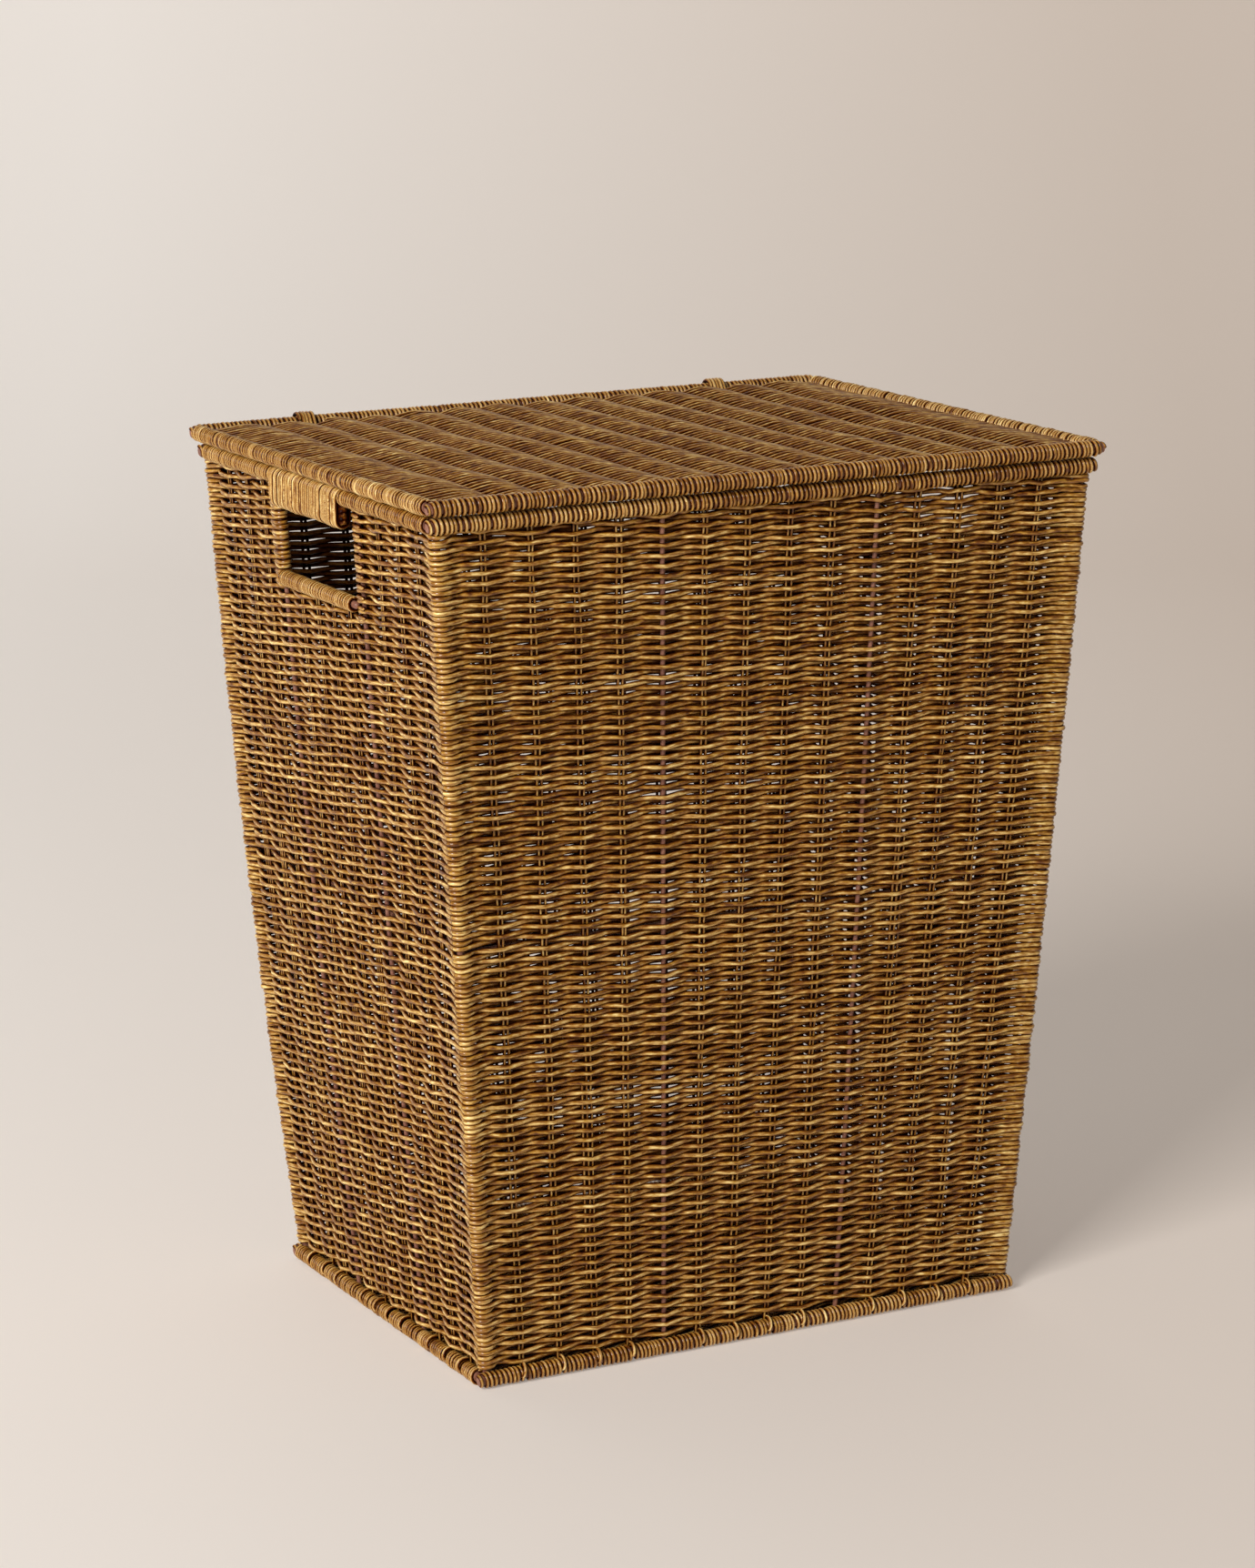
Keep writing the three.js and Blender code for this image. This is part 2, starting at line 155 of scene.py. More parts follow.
class Strands:
    """Round strands gathered into one mesh, each with its own tone and its length for the material."""

    def __init__(self, sides, inner_painted_light=WALL_INSIDE_PAINTED_LIGHT):
        self.sides = sides
        self.inner_painted_light = inner_painted_light
        self.rings = []  # each strand's ring centres, facings, radii, tones and distances out

    def add(self, points, facing, radius, tone, out=None, capped=True):
        """Adds a strand through the points. Its facing is where its outer side looks, and a weaver also
        gives its distance out from the middle of the weave at each point."""
        points = np.asarray(points, float)
        count = len(points)
        out = np.broadcast_to(np.nan if out is None else out, (count,))
        facing = np.broadcast_to(np.asarray(facing, float), points.shape)
        radius = np.broadcast_to(np.asarray(radius, float), (count,))
        tone = np.broadcast_to(np.asarray(tone, float), (count,))
        if capped:
            before = points[0] + unit(points[0] - points[1]) * (CAP_REACH * radius[0])[:, None]
            after = points[-1] + unit(points[-1] - points[-2]) * (CAP_REACH * radius[-1])[::-1, None]
            points = np.concatenate([before, points, after])
            radius = np.concatenate([CAP_GIRTH * radius[0], radius, CAP_GIRTH[::-1] * radius[-1]])
            facing, tone, out = (self._with_cap_rings(values) for values in (facing, tone, out))
        self.rings.append((points, facing, radius, tone, out))

    @staticmethod
    def _with_cap_rings(values):
        rings = len(CAP_REACH)
        return np.concatenate([values[:1].repeat(rings, 0), values, values[-1:].repeat(rings, 0)])

    def mesh(self, name):
        """One mesh of all the strands, with the attributes that the rattan material reads."""
        counts = np.array([len(r[0]) for r in self.rings])
        centres, facings, radii, tones, outs = (np.concatenate(column) for column in zip(*self.rings))
        starts = np.concatenate([[0], np.cumsum(counts)])[:-1]
        tangents = unit(np.concatenate([np.gradient(r[0], axis=0) for r in self.rings]))
        across = unit(np.cross(tangents, facings))
        out = np.cross(across, tangents)

        steps = np.linalg.norm(np.diff(centres, axis=0, prepend=centres[:1]), axis=1)
        steps[starts] = 0
        length = np.cumsum(steps)

        angle = 2 * math.pi * np.arange(self.sides) / self.sides
        around = np.stack([np.cos(angle), np.sin(angle)], axis=-1)
        spoke = out[:, None] * around[None, :, :1] + across[:, None] * around[None, :, 1:]
        vertices = centres[:, None] + spoke * radii[:, None, None]
        vertices = vertices.reshape(-1, 3) * MM - np.array([0, MIDDLE_Y * MM, 0])

        has_next = np.ones(len(centres), bool)
        has_next[starts + counts - 1] = False
        ring = np.flatnonzero(has_next)
        side = np.arange(self.sides)
        near = ring[:, None] * self.sides
        quads = np.stack(
            [
                near + side,
                near + self.sides + side,
                near + self.sides + (side + 1) % self.sides,
                near + (side + 1) % self.sides,
            ],
            axis=-1,
        ).reshape(-1, 4)

        mesh = bpy.data.meshes.new(name)
        mesh.vertices.add(len(vertices))
        mesh.vertices.foreach_set("co", vertices.astype(np.float32).ravel())
        mesh.loops.add(quads.size)
        mesh.loops.foreach_set("vertex_index", quads.astype(np.int32).ravel())
        mesh.polygons.add(len(quads))
        mesh.polygons.foreach_set("loop_start", np.arange(0, quads.size, 4, dtype=np.int32))
        mesh.polygons.foreach_set("use_smooth", np.ones(len(quads), bool))

        grain = np.empty((len(centres), self.sides, 3))
        grain[..., 0] = (length * MM)[:, None]
        grain[..., 1:] = around[None] * radii[:, None, None] * MM
        self._attribute(mesh, "grain", "FLOAT_VECTOR", "vector", grain.reshape(-1, 3))
        self._attribute(mesh, "tone", "FLOAT", "value", np.repeat(tones, self.sides))
        # The painted light: painted shade in the crevices and on the strands' flanks, and most light at
        # their crowns.
        painted_light = self._painted_light(np.cos(angle), radii, outs)
        self._attribute(mesh, "painted_light", "FLOAT", "value", painted_light.ravel())

        self._tape_uv(mesh, ring, length, float(np.median(radii)))
        mesh.update(calc_edges=True)
        return mesh

    def _painted_light(self, cosine, radii, outs):
        """Painted light for each point of the skin, from 0 to a little over 1: painted shade on a strand's
        flanks, in the weave's crevices and on its inner face, and most light where it stands out.
        """
        on_its_own = np.clip(2.4 * cosine - 1.15, 0, 1)[None]
        height = (outs[:, None] + radii[:, None] * cosine) / WEAVE_HALF
        outer = np.clip(1.7 * cosine - 0.68, 0, 1)[None] * np.clip(0.64 + 0.56 * height, 0, 1.2)
        inner = np.clip(-1.5 * cosine - 0.5, 0, 1)[None] * np.clip(0.64 - 0.56 * height, 0, 1.2)
        return np.where(np.isnan(outs)[:, None], on_its_own, outer + self.inner_painted_light * inner)

    @staticmethod
    def _attribute(mesh, name, kind, field, values):
        """Stores a value for each vertex."""
        layer = mesh.attributes.new(name, kind, "POINT")
        layer.data.foreach_set(field, values.astype(np.float32).ravel())

    def _tape_uv(self, mesh, ring, length, radius):
        """Lays the strands' unrolled skins side by side over the square, as one tape cut into rows."""
        girth = 2 * math.pi * radius * 1.3  # with a margin between rows
        usable = 1 - 2 * TAPE_MARGIN
        scale = math.sqrt(usable * 0.985 / (length[-1] * girth + girth * girth))
        start = length[ring] * scale
        end = length[np.minimum(ring + 1, len(length) - 1)] * scale
        row = np.floor((start + end) / 2 / usable)
        height = 1 / (row.max() + 1)
        low = row * height + (1 - TAPE_FILL) / 2 * height
        left = np.clip(start - row * usable + TAPE_MARGIN, 0, 1)
        right = np.clip(end - row * usable + TAPE_MARGIN, 0, 1)
        side = np.arange(self.sides)
        lower = low[:, None] + side * height * TAPE_FILL / self.sides
        upper = low[:, None] + (side + 1) * height * TAPE_FILL / self.sides
        left = np.broadcast_to(left[:, None], lower.shape)
        right = np.broadcast_to(right[:, None], lower.shape)
        around_quad = ((left, lower), (right, lower), (right, upper), (left, upper))
        corners = np.stack([np.stack(corner, -1) for corner in around_quad], axis=2)
        layer = mesh.uv_layers.new(name="OFBake")
        layer.data.foreach_set("uv", corners.astype(np.float32).ravel())


# ---- The tapered body ----------------------------------------------------------------------------------

# Walls in order round the body, seen from above anticlockwise: front, right, back, left.
# Wall w runs from corner w to corner w + 1.
CORNER_SIGNS = np.array([[-1, -1], [1, -1], [1, 1], [-1, 1]], float)
CORNER_BOW = np.array([0.6, 0.9, 2.0, 3.6])  # how far each post bows out half way up


def corner_points(z):
    """Centres of the corner posts at heights z, as (len(z), 4, 2)."""
    z = np.atleast_1d(np.asarray(z, float))
    t = (z - BASE["z"]) / (RIM["z"] - BASE["z"])
    half_w = (BASE["width"] + (RIM["width"] - BASE["width"]) * t) / 2 - WEAVE_INSET
    half_d = (BASE["depth"] + (RIM["depth"] - BASE["depth"]) * t) / 2 - WEAVE_INSET
    half = np.stack([half_w, half_d], -1)[:, None, :]
    bow = np.sin(math.pi * np.clip(t, 0, 1))[:, None, None] * CORNER_BOW[None, :, None]
    return CORNER_SIGNS * (half + bow)


def wall_frame(wall, z):
    """Start corner, direction, length and outward normal of a wall at heights z."""
    corners = corner_points(z)
    start = corners[:, wall]
    run = corners[:, (wall + 1) % 4] - start
    length = np.linalg.norm(run, axis=-1)
    direction = run / length[:, None]
    outward = np.stack([direction[:, 1], -direction[:, 0]], -1)
    return start, direction, length, outward


def side_stations():
    """Where the uprights of a short wall stand: (fraction of the wall, is it a single rod)."""
    first_rod = (1 - SIDE_UPRIGHT_AT) / 2
    second_rod = 1 - first_rod
    outer = np.linspace(0, first_rod, SIDE_OUTER_STAKES + 2)[1:-1]
    inner = np.linspace(first_rod, second_rod, SIDE_INNER_STAKES + 2)[1:-1]
    stations = [(f, False) for f in outer]
    stations.append((first_rod, True))
    stations += [(f, False) for f in inner]
    stations.append((second_rod, True))
    stations += [(1 - f, False) for f in outer[::-1]]
    return stations


def long_stations():
    """The same for a long wall: every fifth upright is a single rod."""
    return [(i / (FRONT_STAKES + 1), i % 5 == 0) for i in range(1, FRONT_STAKES + 1)]


WALL_STATIONS = [long_stations(), side_stations(), long_stations(), side_stations()]

# Small sideways errors of the stakes, the same from bottom to top.
STATION_SHIFT = [rng.normal(0, 0.0022, len(s)) for s in WALL_STATIONS]

row_height_drift = Drift(170, 90)
row_slack = Drift(60, 5)
hump_drift = Drift(70, 40)


def station_reach(is_rod):
    """How far a weaver stands off the stakes' plane where it crosses a single rod or a pair of stakes."""
    return (UPRIGHT_R if is_rod else STAKE_R) + WEAVER_R


# Where along a span between two stakes a weaver's path has its points.
SPAN_STEPS = np.array([0.12, 0.3, 0.5, 0.7, 0.88, 1.0])
# A weaver that comes over a wall's first stake dips in behind its neighbour before it.
DIP = 4.8
DIP_AT, DIP_WIDTH = 0.36, 0.17  # along the span


def cross_over(t):
    """How far a weaver has passed from one face of the weave to the other at part t of a span."""
    eased = 0.5 - 0.5 * np.cos(math.pi * np.clip((t - 0.07) / 0.86, 0, 1))
    return 0.6 * eased + 0.4 * t


def arch(t):
    """Height of the hump between two stakes at part t of a span: creased at the stakes, round between."""
    return 1 - np.abs(2 * t - 1) ** 1.6


def ring_samples(parity):
    """Where a weaver runs round the body, as columns of a table: the wall, the fraction of its length,
    the distance out from the stakes' plane, the turn round the corner post from 0 to 1, the part of a
    full hump between stakes, and whether the sample is at a single rod."""
    rows = []
    over = 1 if parity == 0 else -1
    post_reach = POST_R + WEAVER_R
    for wall in range(4):
        for corner_turn in (0.0, 0.25, 0.5, 0.75, 1.0):
            rows.append((wall, 0.0, post_reach, corner_turn, 0.0, False))
        stations = WALL_STATIONS[wall]
        shifted = [f + error for (f, _), error in zip(stations, STATION_SHIFT[wall])]
        here, here_out = 0.0, post_reach
        for i, there in enumerate(shifted + [1.0]):
            last = i == len(stations)
            is_rod = not last and stations[i][1]
            there_out = post_reach if last else over * station_reach(is_rod)
            over = over if last else -over
            for t in SPAN_STEPS[: -1 if last else None]:
                distance = here_out + (there_out - here_out) * cross_over(t)
                if i == 0 and there_out > 0:
                    distance -= DIP * math.exp(-(((t - DIP_AT) / DIP_WIDTH) ** 2))
                hump = arch(t)
                rows.append((wall, here + (there - here) * t, distance, 1.0, hump, is_rod and t == 1.0))
            here, here_out = there, there_out
    wall_of, fraction, out, turn, hump, at_rod = (np.array(column) for column in zip(*rows))
    return {"wall": wall_of, "fraction": fraction, "out": out, "turn": turn, "hump": hump, "rod": at_rod}


def ring_path(z, samples, seed):
    """Points and facings of one weaver at height z, and how far along it each point is."""
    corners = corner_points(z)[0]
    runs = np.roll(corners, -1, axis=0) - corners
    outward = unit(np.column_stack([runs[:, 1], -runs[:, 0]]))
    wall = samples["wall"]
    angle = (samples["turn"] * math.pi / 2)[:, None]
    facing = unit(outward[wall - 1] * np.cos(angle) + outward[wall] * np.sin(angle))
    plane = corners[wall] + runs[wall] * samples["fraction"][:, None]
    along = np.concatenate([[0], np.cumsum(np.hypot(*np.diff(plane, axis=0).T))])
    slack = 1 + 0.09 * row_slack(along + 977 * seed, seed)
    at_corner = samples["fraction"] == 0
    loose_loop = np.clip(rng.normal(0, CORNER_SLACK, 4), -CORNER_SLACK, 1.5)[wall] * at_corner
    xy = plane + facing * (samples["out"] * slack + loose_loop)[:, None]
    hump = HUMP * (1 + 0.25 * hump_drift(along, z)) * samples["hump"]
    stray = ROW_SLACK + TOP_SLACK * min(max((z - TOP_ROWS_Z) / (LAST_ROW_Z - TOP_ROWS_Z), 0), 1)
    height = z + hump + 0.4 * row_height_drift(along, z)
    height += stray * row_slack(along * 1.7 + 311 * seed, seed)
    points = np.column_stack([xy, height])
    facings = np.column_stack([facing, np.zeros(len(facing))])
    return points, facings, along


def row_heights():
    """Heights of all the weavers. Rows pair up in places, and leave a wider gap at the hoop."""
    heights, z = [], FIRST_ROW_Z
    pairing = Drift(60, 1)
    while z < LAST_ROW_Z:
        heights.append(z)
        gap = ROW_PITCH + (0.07 if len(heights) % 2 else -0.07) * float(pairing(z, 0))
        if abs(z - HOOP_Z) < ROW_PITCH / 2:
            gap += HOOP_ROOM
        z += gap
    return heights


def tone_along(along):
    """A weaver's tone, which changes where one length ends and the next is laid in."""
    cuts = np.sort(rng.uniform(0, along[-1], rng.integers(1, 3)))
    tones = rng.uniform(0, 1, len(cuts) + 1)
    return tones[np.searchsorted(cuts, along)]


TURN_POINTS = 7  # of a weaver's end: six round an opening's upright and one tucked in behind the wall
TUCK = 6.0  # how far its tip runs back along the wall
TURN_LIFT = 0.5  # how far it rises or falls on its way round


def turn_back(points, facings, pivot, toward, at_end):
    """Carries a weaver's end round a handle opening's upright, in the level plane."""
    end = points[-1] if at_end else points[0]
    outer = facings[-1] if at_end else facings[0]
    side = np.array([toward[0], toward[1], 0.0])
    centre = np.array([pivot[0], pivot[1], end[2]])
    reach = float(np.dot(end - centre, outer))
    sense = math.copysign(1, reach)
    angles = np.linspace(0, math.pi, TURN_POINTS)[1:]
    spokes = np.cos(angles)[:, None] * outer * sense + np.sin(angles)[:, None] * side
    arc = centre + abs(reach) * spokes
    arc[:, 2] += np.linspace(0, TURN_LIFT, TURN_POINTS)[1:] * sense
    arc = np.vstack([arc, arc[-1] - side * TUCK])
    arc_facing = unit(arc - centre)
    arc_facing[-1] = arc_facing[-2]
    if at_end:
        return np.vstack([points, arc]), np.vstack([facings, arc_facing])
    return np.vstack([arc[::-1], points]), np.vstack([arc_facing[::-1], facings])


def opening_stretches(samples):
    """A ring's two stretches between the handle openings: their first and last walls, and their samples."""
    right, left = (np.flatnonzero((samples["wall"] == wall) & samples["rod"]) for wall in (1, 3))
    count = len(samples["wall"])
    round_back = np.arange(right[1], left[0] + 1)
    round_front = np.concatenate([np.arange(left[1], count), np.arange(0, right[0] + 1)])
    return [(1, 3, round_back), (3, 1, round_front)]


def weave_body(bands):
    """All the weavers of the four walls, in bands from the floor up."""
    samples = [ring_samples(0), ring_samples(1)]
    heights = row_heights()
    groups = [Strands(7) for _ in range(bands)]
    for row, z in enumerate(heights):
        group = groups[min(row * bands // len(heights), bands - 1)]
        chosen = samples[row % 2]
        fullness = np.where(chosen["fraction"] == 0, CORNER_FULLNESS, chosen["hump"])
        fullness = np.where(chosen["wall"] == 2, 1.0, fullness)  # the back wall is woven the closest
        radius = WEAVER_R * rng.uniform(0.97, 1.03) * (1 + SWELL * fullness)
        points, facings, along = ring_path(z, chosen, row)
        tones = tone_along(along)
        if z < OPENING_LOW:
            loop = np.append(np.arange(len(points)), 0)
            out = chosen["out"][loop]
            group.add(points[loop], facings[loop], radius[loop], tones[loop], out, capped=False)
            continue
        for first_wall, last_wall, index in opening_stretches(chosen):
            path, facing = points[index], facings[index]
            first, last = index[0], index[-1]
            pivot = path[0][:2] - facing[0][:2] * chosen["out"][first]
            run = wall_frame(first_wall, z)[1][0]
            path, facing = turn_back(path, facing, pivot, -run, at_end=False)
            pivot = path[-1][:2] - facing[-1][:2] * chosen["out"][last]
            run = wall_frame(last_wall, z)[1][0]
            path, facing = turn_back(path, facing, pivot, run, at_end=True)
            # The turned ends are as thick and as toned as the weaver where they leave it, and get the
            # painted light of a weaver lying outside the stakes.
            index = np.concatenate([np.full(TURN_POINTS, first), index, np.full(TURN_POINTS, last)])
            out = chosen["out"][index]
            out[:TURN_POINTS] = out[-TURN_POINTS:] = WEAVER_R
            group.add(path, facing, radius[index], tones[index], out)
    return groups


def wall_line(wall, fraction, z, along=0.0):
    """Points and facings at the heights z up the middle of the weave, moved along the wall."""
    start, direction, length, outward = wall_frame(wall, z)
    along = np.broadcast_to(along, z.shape)
    xy = start + direction * (length * fraction)[:, None] + direction * along[:, None]
    return np.column_stack([xy, z]), np.column_stack([outward, np.zeros(len(z))])


def stake_pairs(wall):
    """Where the pairs of stakes stand on a wall, as the ideal and the real fraction of its length."""
    return [
        (fraction, fraction + shift)
        for (fraction, is_rod), shift in zip(WALL_STATIONS[wall], STATION_SHIFT[wall])
        if not is_rod
    ]


def body_stakes():
    """Paired stakes of the four walls, and a few spliced in beside them."""
    strands = Strands(6)
    for wall in range(4):
        for fraction, place in stake_pairs(wall):
            under_opening = wall in (1, 3) and abs(fraction - 0.5) < SIDE_UPRIGHT_AT / 2
            top = SILL["z"] - 2 if under_opening else RIM["z"] - 3
            for offset in (-PAIR_HALF_GAP, PAIR_HALF_GAP):
                z = np.linspace(8, top, 44)
                wander = STAKE_WANDER * row_slack(z, 37 * wall + 90 * fraction + offset)
                points, facings = wall_line(wall, place, z, offset + wander)
                strands.add(points, facings, STAKE_R * rng.uniform(0.95, 1.08), rng.uniform(0.1, 0.8))
            if rng.uniform() < SPLICED_STAKES:
                low = rng.uniform(60, 250)
                z = np.linspace(low, low + rng.uniform(60, 150), 8)
                points, facings = wall_line(wall, place, z, 3.1 * PAIR_HALF_GAP * rng.choice([-1, 1]))
                strands.add(points, facings, STAKE_R, rng.uniform())
    return strands


def body_rods():
    """Corner posts and single uprights, which bow with the walls."""
    strands = Strands(10)
    z = np.linspace(9, RIM["z"] - 2, 24)
    for corner in range(4):
        points = np.column_stack([corner_points(z)[:, corner], z])
        facing = np.append(unit(CORNER_SIGNS[corner]), 0.0)
        strands.add(points, facing, POST_R, rng.uniform(0.3, 0.7))
    for wall in range(4):
        for (fraction, is_rod), shift in zip(WALL_STATIONS[wall], STATION_SHIFT[wall]):
            if is_rod:
                points, facings = wall_line(wall, fraction + shift, z)
                strands.add(points, facings, UPRIGHT_R, rng.uniform(0.3, 0.7))
    return strands


# ---- Wrapped poles -------------------------------------------------------------------------------------


COIL_STEPS = 13  # points in one turn of a wrapping
CURL_TURNS = 1.6  # how many turns close in over a pole's end


def coil(strands, start, end, centre_r, strand_r, pitch, ties=(), rough=1.0, curl=0.0):
    """One strand wound round a straight pole from start to end, whose turns part at each tie. Its ends
    close in over the ends of the pole, right to the middle at a curl of 1."""
    start, end = np.asarray(start, float), np.asarray(end, float)
    span = np.linalg.norm(end - start)
    axis = (end - start) / span
    side = unit(np.cross(axis, (0, 0, 1)))
    up = np.cross(side, axis)
    turns = span / pitch
    angle = np.linspace(0, 2 * math.pi * turns, int(turns * COIL_STEPS))
    turn = angle / (2 * math.pi)
    to_end = np.minimum(turn, turns - turn)
    bunching, pairing = Drift(14, 1), Drift(3.2, 1)
    swell = Drift(5, 1)
    spread = 0.7 * bunching(turn, 0) + 0.45 * pairing(turn, 0)
    place = turn * pitch + rough * spread * np.clip(to_end, 0, 1)
    for tie in ties:
        away = place - tie
        place = place + TIE_ROOM * np.tanh(away / 1.2) * np.exp(-np.abs(away) / 7)
    radial = np.cos(angle)[:, None] * up + np.sin(angle)[:, None] * side
    reach = centre_r + rough * 0.18 * swell(turn, 0)
    if curl:
        closing = np.clip(1 - to_end / CURL_TURNS, 0, 1)
        reach = reach - curl * (centre_r - strand_r) * closing
        place = place + np.where(turn < turns / 2, -1, 1) * 0.6 * closing
    points = start + axis * place[:, None] + radial * reach[:, None]
    tones = tone_along_turns(turn)
    strands.add(points, radial, strand_r * (1 + 0.05 * swell(turn, 9)), tones)


def tone_along_turns(turn):
    """Wrapping strands are about forty turns long, and their colour drifts along them."""
    count = max(int(turn[-1] / 38), 1)
    cuts = np.sort(rng.uniform(0, turn[-1], count))
    tones = rng.uniform(0, 1, count + 1)[np.searchsorted(cuts, turn)]
    slow, quick = Drift(9, 1), Drift(2.2, 1)
    return np.clip(tones + 0.2 * slow(turn, 0) + 0.4 * quick(turn, 0), 0, 1)


def wrap_frame(strands, frame_size, side_breaks=None, tied=False, curl=0.0):
    """Wrappings of the four poles of a rectangular frame. The long ones curl over their rods' ends."""
    width, depth, z = frame_size["width"], frame_size["depth"], frame_size["z"]
    middle_y = frame_size.get("y", 0.0)
    reach = POLE_R - WRAP_R - 0.3
    for wall, sign in ((0, -1), (2, 1)):
        y = middle_y + sign * depth / 2
        end = width / 2 + 3.2
        ties = [end - sign * place for place in tie_places(wall)] if tied else []
        coil(strands, (-end, y, z), (end, y, z), reach, WRAP_R, WRAP_PITCH, ties, curl=curl)
    for wall, sign in ((1, 1), (3, -1)):
        x = sign * width / 2
        end = depth / 2 - POLE_R + 0.5
        for low, high in side_breaks or [(-end, end)]:
            low, high = middle_y + max(low, -end), middle_y + min(high, end)
            ties = [sign * place - low for place in tie_places(wall)] if tied else []
            coil(strands, (x, low, z), (x, high, z), reach, WRAP_R, SIDE_WRAP_PITCH, ties, rough=1.5)


def tie_places(wall):
    """How far from a wall's middle its stake pairs stand at the base."""
    length = wall_frame(wall, BASE["z"])[2][0]
    return [(place - 0.5) * length for _, place in stake_pairs(wall)]


def base_ties(strands):
    """The stakes' ends, brought out under the first weaver and down over the base poles."""
    top = BASE["z"] + POLE_R
    out = np.concatenate([[0.0, 0.1, 0.7], WEAVE_INSET + TIE_REACH * np.cos(TIE_ANGLES)])
    z = np.concatenate([[top + 12, top + 4, top + 1.2], BASE["z"] + TIE_REACH * np.sin(TIE_ANGLES)])
    for wall in range(4):
        start, direction, length, outward = wall_frame(wall, BASE["z"])
        sense = -1 if wall in (0, 2) else 1  # they lean to the left on the long walls
        for _, place in stake_pairs(wall):
            lean = sense * TIE_LEAN + rng.normal(0, 0.8)
            along = length * place + np.linspace(-0.6 * sense * PAIR_HALF_GAP, lean, len(z))
            inner = start + direction * along[:, None]
            points = np.column_stack([inner + outward * out[:, None], z])
            pole_middle = np.column_stack([inner + outward * WEAVE_INSET, np.full(len(z), BASE["z"])])
            facings = unit(points - pole_middle)
            strands.add(points, facings, STAKE_R * 1.15, rng.uniform(0.7, 1.0))


OVAL_STEPS = 12  # points round each end of an oval turn


def oval_coil(strands, low, high, axis, start, end, size, rough=1.0, paler=0.0):
    """One strand wound round two parallel poles together, given a point of each and their direction."""
    low, high, axis = (np.asarray(v, float) for v in (low, high, axis))
    up = (high - low) / np.linalg.norm(high - low)
    side = np.cross(axis, up)
    outline = []
    for centre, first in ((high, 0.0), (low, math.pi)):
        for i in range(OVAL_STEPS):
            angle = first + math.pi * i / (OVAL_STEPS - 1)
            outline.append(centre + size["coil_r"] * (math.cos(angle) * side + math.sin(angle) * up))
    outline = np.array(outline)
    turns = (end - start) / size["pitch"]
    count = int(turns * len(outline))
    turn = np.arange(count) / len(outline)
    bunching, swell = Drift(5, 1), Drift(4.5, 1)
    ring = outline[np.arange(count) % len(outline)]
    from_middle = ring - (low + high) / 2
    outward = unit(from_middle - np.outer(from_middle @ up, up) * 0.6)
    place = start + turn * size["pitch"] + rough * 0.6 * bunching(turn, 0)
    ease = np.clip(np.minimum(turn, turns - turn), 0, 1)
    points = ring + axis * place[:, None] + outward * (rough * 0.35 * swell(turn, 0) * ease)[:, None]
    tones = np.clip(tone_along_turns(turn) + paler, 0, 1)
    strands.add(points, outward, size["strand_r"] * (1 + 0.12 * swell(turn, 5)), tones)


# ---- Materials -----------------------------------------------------------------------------------------


PAINTED_SHADE_TINT = (0.9, 1.35, 1.9)  # how strongly the painted shade darkens red, green and blue


class Shading:
    """A new material with a Principled shader, and short ways to add nodes. An input is a socket to be
    linked or a constant to be set, and each method but node() returns the new node's output socket."""

    def __init__(self, name):
        self.material = bpy.data.materials.new(name)
        self.material.use_nodes = True
        self.tree = self.material.node_tree
        self.tree.nodes.clear()
        self.shader = self.node("ShaderNodeBsdfPrincipled")
        output = self.node("ShaderNodeOutputMaterial")
        self.feed(output.inputs["Surface"], self.shader.outputs["BSDF"])

    def node(self, kind, **settings):
        made = self.tree.nodes.new(kind)
        for key, value in settings.items():
            setattr(made, key, value)
        return made

    def feed(self, socket, value):
        if isinstance(value, bpy.types.NodeSocket):
            self.tree.links.new(value, socket)
        else:
            socket.default_value = value

    def shade(self, **inputs):
        """Feeds the shader's inputs, whose names are given with underscores for spaces."""
        for name, value in inputs.items():
            self.feed(self.shader.inputs[name.replace("_", " ")], value)

    def attribute(self, name, output="Fac"):
        return self.node("ShaderNodeAttribute", attribute_name=name).outputs[output]

    def math(self, operation, *inputs, clamp=False):
        made = self.node("ShaderNodeMath", operation=operation, use_clamp=clamp)
        for socket, value in zip(made.inputs, inputs):
            self.feed(socket, value)
        return made.outputs[0]

    def vector(self, operation, *inputs, output="Vector"):
        made = self.node("ShaderNodeVectorMath", operation=operation)
        for socket, value in zip(made.inputs, inputs):
            self.feed(socket, value)
        return made.outputs[output]

    def combine(self, *parts):
        made = self.node("ShaderNodeCombineXYZ")
        for socket, value in zip(made.inputs, parts):
            self.feed(socket, value)
        return made.outputs[0]

    def noise(self, place, scale, detail, stretch=None):
        if stretch:
            mapping = self.node("ShaderNodeMapping")
            self.feed(mapping.inputs["Scale"], stretch)
            self.feed(mapping.inputs["Vector"], place)
            place = mapping.outputs[0]
        made = self.node("ShaderNodeTexNoise")
        self.feed(made.inputs["Vector"], place)
        self.feed(made.inputs["Scale"], scale)
        self.feed(made.inputs["Detail"], detail)
        return made.outputs["Fac"]

    def rescale(self, value, start=(0.0, 1.0), end=(0.0, 1.0), kind="LINEAR"):
        """Carries the range start over to the range end."""
        made = self.node("ShaderNodeMapRange", interpolation_type=kind)
        self.feed(made.inputs["Value"], value)
        for socket, limit in zip(("From Min", "From Max", "To Min", "To Max"), (*start, *end)):
            self.feed(made.inputs[socket], limit)
        return made.outputs["Result"]

    def ramp(self, value, first, last, *between):
        """Colours along a value, each given as (position, colour)."""
        made = self.node("ShaderNodeValToRGB")
        self.feed(made.inputs["Fac"], value)
        elements = made.color_ramp.elements
        for element, (position, colour) in zip(elements, (first, last)):
            element.position = position
            element.color = (*colour, 1)
        for position, colour in between:
            elements.new(position).color = (*colour, 1)
        return made.outputs["Color"]


